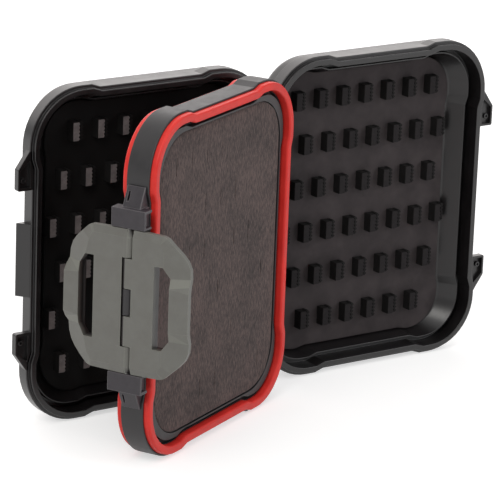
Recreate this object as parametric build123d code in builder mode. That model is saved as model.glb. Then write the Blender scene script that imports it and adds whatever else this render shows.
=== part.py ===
from build123d import *
from math import atan, cos, radians, sin, tan
import os

os.makedirs("parts", exist_ok=True)

# Leaf outline, shared by both shells and the page, in millimetres
width = 121.0
height = 150.0
bump = 1.5
ramp = 4.5
bump_from_side = 34.0
bump_from_end = 33.5
corner_radius = 24.0

# Hinge line and the opened pose
hinge_back = 3.4
front_from_hinge = 10.4
page_angle = 26.06
pin_radius = 1.2
pin_fit = 0.05
pin_seat = 0.02
knuckle_radius = 2.7
knuckle_length = 4.4
knuckle_gap = 0.35
hinge_centre = 29.0

# Shell
band_depth = 6.4
body_radius = 25.0
back_radius = 22.0
back_inset_free = 5.0
back_inset_spine = 0.6
back_inset_end = 0.3
shell_depth = 14.4
back_round = 3.0
lip_inset = 1.4
lip_inner = 4.0
lip_proud = 2.1
channel_inset = 6.9
channel_depth = 4.0
channel_ledge = 0.7
groove_bottom = 7.0
floor_depth = 12.2
floor_inset_free = 13.0
floor_inset_spine = 8.0
floor_inset_end = 8.6
floor_radius = 16.0

# Ears at the free edge, above and below the wings
ear_reach = 7.2
ear_gap = 0.7
ear_tall = 9.6
ear_slope = 8.0
ear_depth = 3.0
ear_wall = 1.1
ear_pocket = 1.9
ear_boss = 1.3

# Catch ramp at the free edge
catch_reach = 4.2
catch_gap = 1.6
catch_start = 0.5

# Slotted inserts
panel_thickness = 1.3
panel_gap = 0.1
panel_clear = 0.3
post_top = 6.0
post_height = 8.6
post_wide = 3.3
post_thin = 1.4
post_slit = 0.8
wave = 0.25
wave_count = 4
row_pitch = 21.2
row_offset = 1.1
post_pitch = 12.9
post_overhang = 0.4
# Where the first post of each row stands and how many the row has, top row first
left_starts = [-36.5, -42.4, -47.5, -42.0, -47.2, -41.4]
left_counts = [6, 7, 8, 7, 8, 7]
right_starts = [-43.8, -51.4, -43.0, -49.7, -42.8, -36.5]
right_counts = [7, 8, 7, 8, 7, 6]

# Page
page_thickness = 11.0
groove_inset = 0.9
groove_inner = 6.9
groove_depth = 1.5
moat_depth = 3.4
moat_outer = 5.1
gasket_width = 3.9
gasket_clear = 0.1
gasket_proud = 2.6
gasket_round = 1.1
foam_side = 7.9
foam_end = 7.7
foam_radius = 20.0
foam_clear = 0.2
foam_thickness = 4.1
foam_pocket = 4.4
slit_pitch = 13.0
slit_length = 8.0
slit_width = 0.3
slit_depth = 2.5

# Latch wings
wing_pin = 6.9
wing_front = 9.8
wing_plate = 3.4
wing_barrel = 2.9
wing_bend = 21.5
wing_end = 29.6
wing_end_front = 5.8
wing_end_back = 3.9
lip_reach = 30.6
lip_front = 10.2
lip_back = 7.4
lip_half = 11.5
slot_inner = 14.7
slot_outer = 22.2
slot_margin = 13.5
slot_rim = 1.7
slot_bottom = 4.6
hook_edge = 17.6
hook_thickness = 1.2
outer_knuckle = 12.2
seam_gap = 0.3
seam_open = 1.2
lug_window = 3.5
end_chamfer = 3.4
end_drop = 1.2
centre_lug_half = 6.2
# Each corner of a wing is cut along these points: across from the pin, down from the end
corner_cuts = [(17.5, 0.0), (25.0, 6.5), (28.2, 12.0), (31.5, 14.5)]

# Latch mounts
mount_half = 8.3
mount_front = 8.6
mount_back = 3.0
mount_clear = 1.1
mount_block = 8.7
mount_neck = 5.2
mount_seat = 0.05
gusset_half = 4.4
gusset_rise = 8.6
gusset_reach = 6.2
side_pocket_depth = 2.4
notch_wide = 0.8
notch_tall = 4.2
notch_across = 2.6

origin_x = 0.344
origin_y = 30.541
half_x = width / 2
half_y = height / 2
half_page = page_thickness / 2
middle = bump + half_y
ramp_shift = tan(atan(bump / ramp) / 2)
turn = radians(page_angle)
hinge_xy = (origin_x, origin_y)

# The mounts end just inside the corner bumps, and the wings and ears follow from them
mount_top = half_y - bump_from_end - mount_clear
gusset_top = mount_top + gusset_rise
wing_half = mount_top - mount_block
slot_half = wing_half - slot_margin
catch_half = slot_half - catch_gap
ear_flat = wing_half + ear_gap
ear_corner = ear_flat + ear_tall
ear_root = ear_corner + ear_slope

# Each leaf plane looks out of the open side, x along the leaf, y up, centred on the leaf
right_plane = Plane(
    origin=(origin_x + hinge_back + half_x, origin_y + front_from_hinge, middle),
    x_dir=(1, 0, 0),
    z_dir=(0, -1, 0),
)
left_plane = Plane(
    origin=(origin_x - hinge_back - half_x, origin_y + front_from_hinge, middle),
    x_dir=(1, 0, 0),
    z_dir=(0, -1, 0),
)
page_plane = Plane(
    origin=(
        origin_x - (hinge_back + half_x) * cos(turn),
        origin_y - (hinge_back + half_x) * sin(turn),
        middle,
    ),
    x_dir=(cos(turn), sin(turn), 0),
    z_dir=(sin(turn), -cos(turn), 0),
)
# Seen from above at the page's free edge: x to the left side, y outward
latch_plane = Plane(
    origin=page_plane.from_local_coords((-half_x, 0, 0)),
    x_dir=(-sin(turn), cos(turn), 0),
    z_dir=(0, 0, 1),
)
# Seen along the page from its free edge: x to the left side, y up
latch_face = Plane(
    origin=page_plane.from_local_coords((-half_x, 0, 0)),
    x_dir=(-sin(turn), cos(turn), 0),
    z_dir=(cos(turn), sin(turn), 0),
)
latch_profile = Plane(latch_face.origin, x_dir=-latch_face.z_dir, z_dir=latch_face.x_dir)


def level(plane, height_at):
    # Horizontal plane at a height on a leaf, x along the leaf, y into its depth
    return Plane(origin=plane.from_local_coords((0, height_at, 0)), x_dir=plane.x_dir, z_dir=(0, 0, 1))


def stepped_face(side, end, radius, x_end, y_end, mode=Mode.ADD):
    # Rounded rectangle whose four corners stand proud of the straight sides behind short ramps
    with BuildLine() as ring:
        rise = Line((side, 0), (side, y_end))
        step_out = Line(rise @ 1, (side + bump, y_end + ramp))
        to_arc = Line(step_out @ 1, (side + bump, end + bump - radius))
        centre = (side + bump - radius, end + bump - radius)
        corner = CenterArc(centre, radius, 0, 90)
        from_arc = Line(corner @ 1, (x_end + ramp, end + bump))
        step_in = Line(from_arc @ 1, (x_end, end))
        Line(step_in @ 1, (0, end))
        mirror(about=Plane.YZ)
        mirror(about=Plane.XZ)
    make_face(ring.edges(), mode=mode)


def outline(inset, mode=Mode.ADD):
    # The shared outline drawn inward by one inset
    shift = inset * ramp_shift
    stepped_face(
        half_x - inset,
        half_y - inset,
        corner_radius + bump - inset,
        half_x - bump_from_side + shift,
        half_y - bump_from_end + shift,
        mode,
    )


def floor_plane(plane, free, depth):
    # The floor sits a little nearer the spine than the rim does
    across = -free * (floor_inset_free - floor_inset_spine) / 2
    return Plane(origin=plane.from_local_coords((across, 0, -depth)), x_dir=plane.x_dir, z_dir=plane.z_dir)


def back_plane(plane, free):
    across = -free * (back_inset_free - back_inset_spine) / 2
    return Plane(origin=plane.from_local_coords((across, 0, -shell_depth)), x_dir=plane.x_dir, z_dir=plane.z_dir)


def floor_outline(inset):
    shift = (floor_inset_end + inset) * ramp_shift
    stepped_face(
        half_x - (floor_inset_free + floor_inset_spine) / 2 - inset,
        half_y - floor_inset_end - inset,
        floor_radius - inset,
        half_x - bump_from_side + shift,
        half_y - bump_from_end + shift,
    )


def knuckle_levels(order):
    # Lower ends of the knuckles in one slot of the upper and lower groups, about the leaf centre
    start = hinge_centre - 2.5 * knuckle_length - 2 * knuckle_gap
    step = order * (knuckle_length + knuckle_gap)
    upper = start + step
    return [upper, -upper - knuckle_length]


def shell(plane, free, order):
    # One shell: free is +1 where the free edge lies toward +x, order is its hinge slot
    with BuildPart() as body:
        with BuildSketch(plane):
            outline(0)
        extrude(amount=-band_depth)
        with BuildSketch(plane):
            outline(lip_inset)
        extrude(amount=lip_proud)
        # The body leans in at its free side, and has none of the band's corner bumps
        with BuildSketch(plane.offset(-band_depth)):
            RectangleRounded(width, height, body_radius)
        with BuildSketch(back_plane(plane, free)):
            RectangleRounded(
                width - back_inset_free - back_inset_spine,
                height - 2 * back_inset_end,
                back_radius,
            )
        loft(ruled=True)
        back = body.faces().sort_by(Axis(plane.origin, -plane.z_dir))[-1]
        fillet(back.edges(), back_round)
        with BuildSketch(plane.offset(lip_proud)):
            outline(lip_inner)
        extrude(amount=-lip_proud - channel_depth, mode=Mode.SUBTRACT)
        with BuildSketch(plane.offset(-channel_depth)):
            outline(lip_inner)
            outline(channel_inset - channel_ledge, Mode.SUBTRACT)
        extrude(amount=channel_depth - groove_bottom, mode=Mode.SUBTRACT)
        with BuildSketch(plane.offset(-channel_depth)):
            outline(channel_inset)
        with BuildSketch(floor_plane(plane, free, floor_depth)):
            floor_outline(0)
        loft(ruled=True, mode=Mode.SUBTRACT)
        # Ears with a shallow pocket and a small boss in it
        for up in (1, -1):
            with BuildSketch(plane):
                Polygon(
                    (free * (half_x - 1), up * ear_flat),
                    (free * (half_x + ear_reach), up * ear_flat),
                    (free * (half_x + ear_reach), up * ear_corner),
                    (free * (half_x + bump), up * ear_root),
                    (free * (half_x - 1), up * ear_root),
                    align=None,
                )
            extrude(amount=-ear_depth)
            with BuildSketch(plane):
                Polygon(
                    (free * (half_x + ear_wall), up * (ear_flat + ear_wall)),
                    (free * (half_x + ear_reach - ear_wall), up * (ear_flat + ear_wall)),
                    (free * (half_x + ear_reach - ear_wall), up * (ear_corner - ear_wall / 2)),
                    (free * (half_x + ear_wall), up * (ear_root - ear_wall - 3)),
                    align=None,
                )
            extrude(amount=-ear_pocket, mode=Mode.SUBTRACT)
            with BuildSketch(plane.offset(-ear_pocket - 0.2)):
                with Locations((free * (half_x + ear_reach / 2 + 0.4), up * (ear_flat + 4.5))):
                    Circle(ear_boss)
            extrude(amount=ear_pocket - 0.6)
        # Catch ramp, rising from the front edge to a square back
        with BuildSketch(level(plane, -catch_half)):
            Polygon(
                (free * (half_x - 1), catch_start),
                (free * (half_x + 0.2), catch_start),
                (free * (half_x + catch_reach), band_depth - 0.6),
                (free * (half_x + catch_reach), band_depth),
                (free * (half_x - 1), band_depth),
                align=None,
            )
        extrude(amount=2 * catch_half)
        # Hinge straps and their knuckles
        axis_x = -free * (half_x + hinge_back)
        for low in knuckle_levels(order):
            with BuildSketch(level(plane, low)):
                with Locations((axis_x, -front_from_hinge)):
                    Circle(knuckle_radius)
                Polygon(
                    (axis_x + free * 0.25, -front_from_hinge),
                    (axis_x + free * knuckle_radius, -front_from_hinge),
                    (axis_x + free * knuckle_radius, catch_start),
                    (axis_x + free * (hinge_back + 0.8), catch_start),
                    (axis_x + free * (hinge_back + 0.8), band_depth - 0.4),
                    (axis_x + free * 0.25, band_depth - 0.4),
                    align=None,
                )
            extrude(amount=knuckle_length)
            with BuildSketch(level(plane, low)):
                with Locations((axis_x, -front_from_hinge)):
                    Circle(pin_radius + pin_fit)
            extrude(amount=knuckle_length, mode=Mode.SUBTRACT)
    return body


def wavy(x_at):
    # Zigzag edge down one side of a post's slit
    count = 2 * wave_count
    points = []
    for step in range(count + 1):
        swing = wave if step % 2 else -wave
        points.append((x_at + swing, post_height / 2 - post_height * step / count))
    return points


def insert(plane, free, starts, counts):
    # Slotted insert: a thin panel with rows of split posts, less those that would overhang its sides
    panel_front = floor_depth - panel_gap - panel_thickness
    post_width = post_wide + post_slit + post_thin
    wide = [(0, -post_height / 2), (0, post_height / 2)] + wavy(post_wide)
    free_end = half_x - floor_inset_free - panel_clear + post_overhang
    spine_end = half_x - floor_inset_spine - panel_clear + post_overhang
    low_end, high_end = (-spine_end, free_end) if free > 0 else (-free_end, spine_end)
    with BuildPart() as panel:
        with BuildSketch(floor_plane(plane, free, floor_depth - panel_gap)):
            floor_outline(panel_clear)
        extrude(amount=panel_thickness)
        with BuildSketch(plane.offset(-panel_front)):
            for number, (start, count) in enumerate(zip(starts, counts)):
                y_at = row_offset + row_pitch * (2.5 - number)
                steps = [start + post_pitch * k for k in range(count)]
                posts = [x_at for x_at in steps if low_end < x_at < high_end - post_width]
                with Locations(*[(x_at, y_at) for x_at in posts]):
                    Polygon(*wide, align=None)
                with Locations(*[(x_at + post_width - post_thin / 2, y_at) for x_at in posts]):
                    Rectangle(post_thin, post_height)
        extrude(amount=panel_front - post_top)
    return panel


def gasket(face):
    # Ring gasket lying in the page groove, face is +1 on the page's right side
    outer = groove_inset + gasket_clear
    base = face * (half_page - groove_depth + gasket_clear)
    rise = face * (groove_depth - gasket_clear + gasket_proud)
    with BuildPart() as ring:
        with BuildSketch(page_plane.offset(base)):
            outline(outer)
        extrude(amount=rise)
        with BuildSketch(page_plane.offset(base)):
            outline(outer + gasket_width)
        extrude(amount=rise, mode=Mode.SUBTRACT)
        top = ring.faces().sort_by(Axis(page_plane.origin, page_plane.z_dir * face))[-1]
        chamfer(top.edges(), gasket_round)
    return ring


def foam(face):
    # Slit foam panel in the page pocket
    base = face * (half_page - foam_pocket + 0.1)
    front = base + face * foam_thickness
    with BuildPart() as pad:
        with BuildSketch(page_plane.offset(base)):
            RectangleRounded(
                width - 2 * foam_side - 2 * foam_clear,
                height - 2 * foam_end - 2 * foam_clear,
                foam_radius,
            )
        extrude(amount=face * foam_thickness)
        with BuildSketch(page_plane.offset(front)):
            with GridLocations(slit_pitch, row_pitch, 7, 6):
                Rectangle(slit_width, slit_length)
        extrude(amount=-face * slit_depth, mode=Mode.SUBTRACT)
    return pad


def wing(side):
    # Latch wing, side is +1 for the left one: it carries the two outer knuckles
    slack = seam_gap / 2
    back = wing_front - wing_plate
    with BuildPart() as plate:
        with BuildSketch(latch_plane.offset(-wing_half)):
            with Locations((0, wing_pin)):
                Circle(wing_barrel)
            Polygon(
                (0, wing_front),
                (side * wing_bend, wing_front),
                (side * wing_end, wing_end_front),
                (side * (wing_end - 0.8), wing_end_back),
                (side * wing_bend, back),
                (0, back),
                align=None,
            )
            Polygon(
                (side * (slot_inner - slot_rim), back + 0.2),
                (side * (slot_outer + slot_rim), back + 0.2),
                (side * (slot_outer + slot_rim), slot_bottom),
                (side * (slot_inner - slot_rim), slot_bottom),
                align=None,
            )
        extrude(amount=2 * wing_half)
        # Front outline with the cut corners
        upper = [(side * across, wing_half - down) for across, down in corner_cuts]
        lower = [(across, -height_there) for across, height_there in reversed(upper)]
        with BuildSketch(latch_face):
            Polygon((-side * 4, wing_half), *upper, *lower, (-side * 4, -wing_half), align=None)
        extrude(amount=14, both=True, mode=Mode.INTERSECT)
        # The rim behind the slot stops short of the plate's ends
        for up in (1, -1):
            with BuildSketch(latch_plane.offset(up * (slot_half + slot_rim))):
                with Locations((side * (slot_inner + slot_outer) / 2, (slot_bottom + back) / 2 - 0.6)):
                    Rectangle(slot_outer - slot_inner + 2 * slot_rim + 2, back - slot_bottom + 1.2)
            extrude(amount=up * 20, mode=Mode.SUBTRACT)
        # Finger lip at the middle of the outer end
        with BuildSketch(latch_plane.offset(-lip_half)):
            Polygon(
                (side * wing_bend, wing_front),
                (side * lip_reach, lip_front),
                (side * lip_reach, lip_back),
                (side * wing_bend, back),
                align=None,
            )
        extrude(amount=2 * lip_half)
        # Slot, slanted at its ends, open right through
        with BuildSketch(latch_face):
            Polygon(
                (side * slot_inner, slot_half),
                (side * (slot_outer - 3.2), slot_half),
                (side * slot_outer, slot_half - 4.5),
                (side * slot_outer, -slot_half + 4.5),
                (side * (slot_outer - 3.2), -slot_half),
                (side * slot_inner, -slot_half),
                align=None,
            )
        extrude(amount=14, both=True, mode=Mode.SUBTRACT)
        # Hook shelf across the back of the slot
        with BuildSketch(latch_plane.offset(-slot_half + 1.5)):
            with Locations((side * (hook_edge + slot_outer) / 2 + side * 0.2, slot_bottom + hook_thickness / 2)):
                Rectangle(slot_outer - hook_edge + 0.4, hook_thickness)
        extrude(amount=2 * slot_half - 3.0)
        # The front drops away at the upper and lower ends
        for up in (1, -1):
            with BuildSketch(latch_profile):
                Polygon(
                    (wing_front, up * (wing_half - end_chamfer)),
                    (wing_front - end_drop, up * wing_half),
                    (wing_front + 2, up * wing_half),
                    align=None,
                )
            extrude(amount=lip_reach + 1, both=True, mode=Mode.SUBTRACT)
        # Room for the other wing's knuckles and the page's middle lug
        if side > 0:
            spans = [(-wing_half + outer_knuckle, wing_half - outer_knuckle, seam_open)]
        else:
            spans = [
                (-wing_half - 1, -wing_half + outer_knuckle, 0),
                (-centre_lug_half, centre_lug_half, lug_window),
                (wing_half - outer_knuckle, wing_half + 1, 0),
            ]
        for low, high, opened in spans:
            with BuildSketch(latch_plane.offset(low - slack)):
                with Locations((0, wing_pin)):
                    Circle(wing_barrel + seam_gap)
                with Locations((-side * (4 - opened) / 2, wing_pin)):
                    Rectangle(4 + opened, 2 * wing_barrel + 2)
            extrude(amount=high - low + 2 * slack, mode=Mode.SUBTRACT)
        with BuildSketch(latch_plane.offset(-wing_half)):
            with Locations((0, wing_pin)):
                Circle(pin_radius + pin_fit)
        extrude(amount=2 * wing_half, mode=Mode.SUBTRACT)
    return plate


def latch_mount(up):
    # Pin mount on the page's free edge: a wide block, a narrow neck and a gusset
    with BuildPart() as mount:
        with BuildSketch(latch_plane.offset(up * (wing_half + seam_gap))):
            with Locations((0, (mount_front + mount_back) / 2)):
                Rectangle(2 * mount_half, mount_front - mount_back)
            with Locations((0, mount_back / 2 + mount_seat)):
                Rectangle(2 * mount_neck, mount_back)
        extrude(amount=up * (mount_top - wing_half - seam_gap))
        with BuildSketch(latch_profile):
            Polygon(
                (mount_seat, up * (mount_top - 1)),
                (mount_seat, up * (half_y - bump_from_end)),
                (bump + mount_seat, up * (half_y - bump_from_end + ramp)),
                (bump + mount_seat, up * gusset_top),
                (bump + 0.8, up * gusset_top),
                (gusset_reach, up * mount_top),
                (gusset_reach, up * (mount_top - 1)),
                align=None,
            )
        extrude(amount=gusset_half, both=True)
        # Narrow notch in the gusset's sloping front
        with BuildSketch(latch_face.offset(-gusset_reach)):
            with Locations((notch_across, up * (mount_top + gusset_top) / 2)):
                Rectangle(notch_wide, notch_tall)
        extrude(amount=gusset_reach - bump - 0.9, mode=Mode.SUBTRACT)
        for side in (1, -1):
            with BuildSketch(latch_profile.offset(side * mount_half)):
                with Locations(((mount_front + mount_back) / 2 - 1.2, up * (mount_top + wing_half) / 2)):
                    Rectangle(mount_front - mount_back + 0.2, mount_top - wing_half - 2.6)
            extrude(amount=-side * side_pocket_depth, mode=Mode.SUBTRACT)
        with BuildSketch(latch_plane.offset(up * (wing_half + seam_gap))):
            with Locations((0, wing_pin)):
                Circle(pin_radius + pin_seat)
        extrude(amount=up * (mount_top - wing_half - seam_gap - 1.4), mode=Mode.SUBTRACT)
    return mount


left_shell = shell(left_plane, -1, 1)
right_shell = shell(right_plane, 1, 3)

left_insert = insert(left_plane, -1, left_starts, left_counts)
right_insert = insert(right_plane, 1, right_starts, right_counts)

with BuildPart() as page_frame:
    with BuildSketch(page_plane.offset(-half_page)):
        outline(0)
    extrude(amount=page_thickness)
    for face in (1, -1):
        with BuildSketch(page_plane.offset(face * half_page)):
            outline(groove_inset)
        extrude(amount=-face * groove_depth, mode=Mode.SUBTRACT)
        with BuildSketch(page_plane.offset(face * half_page)):
            outline(moat_outer)
        extrude(amount=-face * moat_depth, mode=Mode.SUBTRACT)
        with BuildSketch(page_plane.offset(face * (half_page - moat_depth))):
            outline(groove_inner)
        extrude(amount=face * moat_depth)
        with BuildSketch(page_plane.offset(face * half_page)):
            RectangleRounded(width - 2 * foam_side, height - 2 * foam_end, foam_radius + foam_clear)
        extrude(amount=-face * foam_pocket, mode=Mode.SUBTRACT)
    axis_x = half_x + hinge_back
    for order in (0, 2, 4):
        for low in knuckle_levels(order):
            with BuildSketch(level(page_plane, low)):
                with Locations((axis_x, 0)):
                    Circle(knuckle_radius)
                with Locations((axis_x - (hinge_back + 1) / 2, 0)):
                    Rectangle(hinge_back + 1, 2 * knuckle_radius)
            extrude(amount=knuckle_length)
            with BuildSketch(level(page_plane, low)):
                with Locations((axis_x, 0)):
                    Circle(pin_radius + pin_seat)
            extrude(amount=knuckle_length, mode=Mode.SUBTRACT)
    # Middle lug that steadies the latch pin
    with BuildSketch(latch_plane.offset(-centre_lug_half + seam_gap)):
        with Locations((0, wing_pin)):
            Circle(wing_barrel - 0.7)
        with Locations((0, wing_pin / 2 - 0.5)):
            Rectangle(2 * wing_barrel - 1.4, wing_pin + 1)
    extrude(amount=2 * centre_lug_half - 2 * seam_gap)
    with BuildSketch(latch_plane.offset(-centre_lug_half)):
        with Locations((0, wing_pin)):
            Circle(pin_radius + pin_seat)
    extrude(amount=2 * centre_lug_half, mode=Mode.SUBTRACT)

left_gasket = gasket(-1)
right_gasket = gasket(1)
left_foam = foam(-1)
right_foam = foam(1)

pin_length = 5 * knuckle_length + 4 * knuckle_gap
pins = []
for low in (knuckle_levels(0)[0], knuckle_levels(0)[1] - pin_length + knuckle_length):
    with BuildPart() as pin:
        with BuildSketch(Plane((hinge_xy[0], hinge_xy[1], middle + low))):
            Circle(pin_radius)
        extrude(amount=pin_length)
        chamfer(pin.edges().filter_by(GeomType.CIRCLE), 0.25)
    pins.append(pin)

with BuildPart() as latch_pin:
    with BuildSketch(latch_plane.offset(-mount_top + 1.8)):
        with Locations((0, wing_pin)):
            Circle(pin_radius)
    extrude(amount=2 * mount_top - 3.6)
    chamfer(latch_pin.edges().filter_by(GeomType.CIRCLE), 0.25)

left_wing = wing(1)
right_wing = wing(-1)
upper_mount = latch_mount(1)
lower_mount = latch_mount(-1)

pieces = {
    "left_shell": left_shell,
    "right_shell": right_shell,
    "left_insert": left_insert,
    "right_insert": right_insert,
    "page_frame": page_frame,
    "left_gasket": left_gasket,
    "right_gasket": right_gasket,
    "left_foam": left_foam,
    "right_foam": right_foam,
    "upper_hinge_pin": pins[0],
    "lower_hinge_pin": pins[1],
    "latch_pin": latch_pin,
    "left_latch_wing": left_wing,
    "right_latch_wing": right_wing,
    "upper_latch_mount": upper_mount,
    "lower_latch_mount": lower_mount,
}
for name, piece in pieces.items():
    piece.part.label = name
    export_step(piece.part, "parts/" + name + ".step")
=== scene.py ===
import math

import bmesh
import bpy
import numpy as np
from mathutils import Matrix


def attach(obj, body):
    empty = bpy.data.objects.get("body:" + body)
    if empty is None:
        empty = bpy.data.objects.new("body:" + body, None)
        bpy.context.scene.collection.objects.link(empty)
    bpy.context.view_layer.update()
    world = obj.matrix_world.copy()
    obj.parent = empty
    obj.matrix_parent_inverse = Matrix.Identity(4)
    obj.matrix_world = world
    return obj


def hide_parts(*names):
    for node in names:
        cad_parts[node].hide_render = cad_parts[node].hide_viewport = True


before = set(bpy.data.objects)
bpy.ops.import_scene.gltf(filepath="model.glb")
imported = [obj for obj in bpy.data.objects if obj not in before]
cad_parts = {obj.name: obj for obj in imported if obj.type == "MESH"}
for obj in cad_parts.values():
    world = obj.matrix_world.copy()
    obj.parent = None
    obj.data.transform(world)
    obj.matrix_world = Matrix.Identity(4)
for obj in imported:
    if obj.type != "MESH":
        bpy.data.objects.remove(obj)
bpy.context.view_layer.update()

scene = bpy.context.scene

# Pieces are worked out in millimetres and turned to metres when their mesh is made. The camera, the lamps
# and the floor are in metres. A leaf is a shell or the page: its own axes run along it, up, and out of its
# open side
leaf = {
    "halfWide": 60.5,
    "halfTall": 75.0,
    "bump": 1.5,
    "ramp": 4.5,
    "bumpFromSide": 34.0,
    "bumpFromEnd": 33.5,
    "cornerRadius": 25.5,
    "softening": 0.7,
    "cornerSteps": 13,
    "hinge": (0.344, 30.541),
    "hingeBack": 3.4,
    "frontFromHinge": 10.4,
    "pageTurn": 26.06,
    "middle": 76.5,
}


# Placement
def placement(origin, along, up, out):
    # A leaf's own origin in millimetres and its three axes, one to a row
    return {"origin": np.array(origin, float), "axes": np.array([along, up, out], float)}


turn = math.radians(leaf["pageTurn"])
turnCos, turnSin = math.cos(turn), math.sin(turn)
reach = leaf["hingeBack"] + leaf["halfWide"]
fullReach = reach + leaf["halfWide"]
hingeX, hingeY = leaf["hinge"]
openFront = hingeY + leaf["frontFromHinge"]
places = {
    "left": placement((hingeX - reach, openFront, leaf["middle"]), (1, 0, 0), (0, 0, 1), (0, -1, 0)),
    "right": placement((hingeX + reach, openFront, leaf["middle"]), (1, 0, 0), (0, 0, 1), (0, -1, 0)),
    "page": placement((hingeX - reach * turnCos, hingeY - reach * turnSin, leaf["middle"]),
                      (turnCos, turnSin, 0), (0, 0, 1), (turnSin, -turnCos, 0)),
    # At the page's free edge: along to the left side, up, and outwards
    "latch": placement((hingeX - fullReach * turnCos, hingeY - fullReach * turnSin, leaf["middle"]),
                       (-turnSin, turnCos, 0), (0, 0, 1), (-turnCos, -turnSin, 0)),
}


def toWorld(points, place):
    # Point = origin + x along + y up + z out, in metres
    return (place["origin"] + np.asarray(points, float) @ place["axes"]) / 1000.0


# Shapes
def roundedPath(corners, radii, steps):
    # Closed path through a polygon: every corner is a conic arc between two points that lie
    # radius x tan(half the turn) away from it, with weight cos(half the turn), which is a circle
    corners = np.asarray(corners, float)
    radii = np.broadcast_to(np.asarray(radii, float), (len(corners),))
    back = np.roll(corners, 1, axis=0) - corners
    ahead = np.roll(corners, -1, axis=0) - corners
    backLong = np.maximum(np.linalg.norm(back, axis=1, keepdims=True), 1e-9)
    aheadLong = np.maximum(np.linalg.norm(ahead, axis=1, keepdims=True), 1e-9)
    back = back / backLong
    ahead = ahead / aheadLong
    bend = np.pi - np.arccos(np.clip((back * ahead).sum(1), -1, 1))
    cut = (radii * np.tan(bend / 2))[:, None]
    weight = np.cos(bend / 2)[:, None, None]
    t = np.linspace(0, 1, steps)[None, :, None]
    start = (corners + back * cut)[:, None, :]
    end = (corners + ahead * cut)[:, None, :]
    middle = corners[:, None, :]
    above = (1 - t) ** 2 * start + 2 * weight * t * (1 - t) * middle + t ** 2 * end
    below = (1 - t) ** 2 + 2 * weight * t * (1 - t) + t ** 2
    return (above / below).reshape(-1, 2)


def steppedRing(halfWide, halfTall, radius, bump, fromSide, fromEnd, soft=leaf["softening"]):
    # Rounded rectangle whose corners stand a bump proud of the sides, behind short ramps
    quarter = np.array([
        (halfWide, fromEnd),
        (halfWide + bump, fromEnd + leaf["ramp"]),
        (halfWide + bump, halfTall + bump),
        (fromSide + leaf["ramp"], halfTall + bump),
        (fromSide, halfTall),
    ])
    radii = np.array([soft, soft, radius, soft, soft])
    corners = np.concatenate([quarter, quarter[::-1] * (-1, 1), quarter * (-1, -1), quarter[::-1] * (1, -1)])
    radii = np.concatenate([radii, radii[::-1], radii, radii[::-1]])
    return roundedPath(corners, radii, leaf["cornerSteps"])


def bumpStarts(inset):
    # Where the ramps start along each end and up each side: an inset moves them by the ramp's mitre
    shift = inset * math.tan(math.atan(leaf["bump"] / leaf["ramp"]) / 2)
    return leaf["halfWide"] - leaf["bumpFromSide"] + shift, leaf["halfTall"] - leaf["bumpFromEnd"] + shift


def outlineRing(inset, soft=leaf["softening"]):
    # A leaf's outline moved inwards by an even inset
    return steppedRing(leaf["halfWide"] - inset, leaf["halfTall"] - inset, leaf["cornerRadius"] - inset,
                       leaf["bump"], *bumpStarts(inset), soft)


def plainRing(halfWide, halfTall, radius):
    # The same number of points on a rounded rectangle with no bumps
    return steppedRing(halfWide, halfTall, radius, 0.0, halfWide - leaf["bumpFromSide"],
                       halfTall - leaf["bumpFromEnd"])


def lift(ring, height):
    # The ring's two coordinates, with its height as the third
    return np.column_stack([ring, np.full(len(ring), float(height))])


def sweptSkin(layers, steps=5, closed=False):
    # Surface through layers, each a ring, its height and a cut. At each ring the way across is rounded: a
    # quadratic curve runs from a cut before it to a cut after it, and row and column are the two parameters
    rings = np.array([lift(ring, height) for ring, height, _ in layers])
    cuts = [cut for *_, cut in layers]
    count = len(rings)
    t = np.linspace(0, 1, steps)[:, None, None]
    rows = []
    for j in range(count):
        edge = not closed and j in (0, count - 1)
        if edge or cuts[j] <= 0:
            rows.append(rings[j][None])
            continue
        before = rings[j - 1] - rings[j]
        after = rings[(j + 1) % count] - rings[j]
        beforeLong = np.maximum(np.linalg.norm(before, axis=1, keepdims=True), 1e-9)
        afterLong = np.maximum(np.linalg.norm(after, axis=1, keepdims=True), 1e-9)
        start = rings[j] + before * np.minimum(cuts[j] / beforeLong, 0.5)
        end = rings[j] + after * np.minimum(cuts[j] / afterLong, 0.5)
        rows.append((1 - t) ** 2 * start[None] + 2 * t * (1 - t) * rings[j][None] + t ** 2 * end[None])
    return np.concatenate(rows)


def gridFaces(rows, columns, wrapRows=False, wrapColumns=True):
    # Quads between neighbours of a grid of rows x columns points
    r = np.arange(rows if wrapRows else rows - 1)
    c = np.arange(columns if wrapColumns else columns - 1)
    a, b = np.meshgrid(r, c, indexing="ij")
    a2, b2 = (a + 1) % rows, (b + 1) % columns
    quads = np.stack([a * columns + b, a2 * columns + b, a2 * columns + b2, a * columns + b2], axis=-1)
    return quads.reshape(-1, 4).tolist()


def capped(grid):
    # A grid of rings as a closed part: quads between the rings and a cap at either end
    rows, columns = grid.shape[:2]
    caps = [list(range(columns))[::-1], list(range((rows - 1) * columns, rows * columns))]
    return grid.reshape(-1, 3), gridFaces(rows, columns) + caps


def wrapped(grid):
    # The same where the last ring joins the first, so nothing needs a cap
    return grid.reshape(-1, 3), gridFaces(*grid.shape[:2], wrapRows=True)


def circle(count):
    # Unit circle: cosine and sine of equal steps of angle
    angle = np.linspace(0, 2 * np.pi, count, endpoint=False)
    return np.stack([np.cos(angle), np.sin(angle)], axis=1)


def turned(centre, rim, count=40):
    # A closed rim of (radius, level) pairs carried round a circle
    x, out = circle(count).T
    return wrapped(np.array([np.column_stack([centre[0] + x * r, np.full(count, z), centre[1] + out * r])
                              for r, z in rim]))


def tube(centre, outer, inner, low, high, soft=0.25):
    # A turned part between two radii, with both outer edges cut off
    return turned(centre, [(outer - soft, low), (outer, low + soft), (outer, high - soft),
                           (outer - soft, high), (inner, high), (inner, low)])


mergeWithin = 2e-6  # metres


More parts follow.
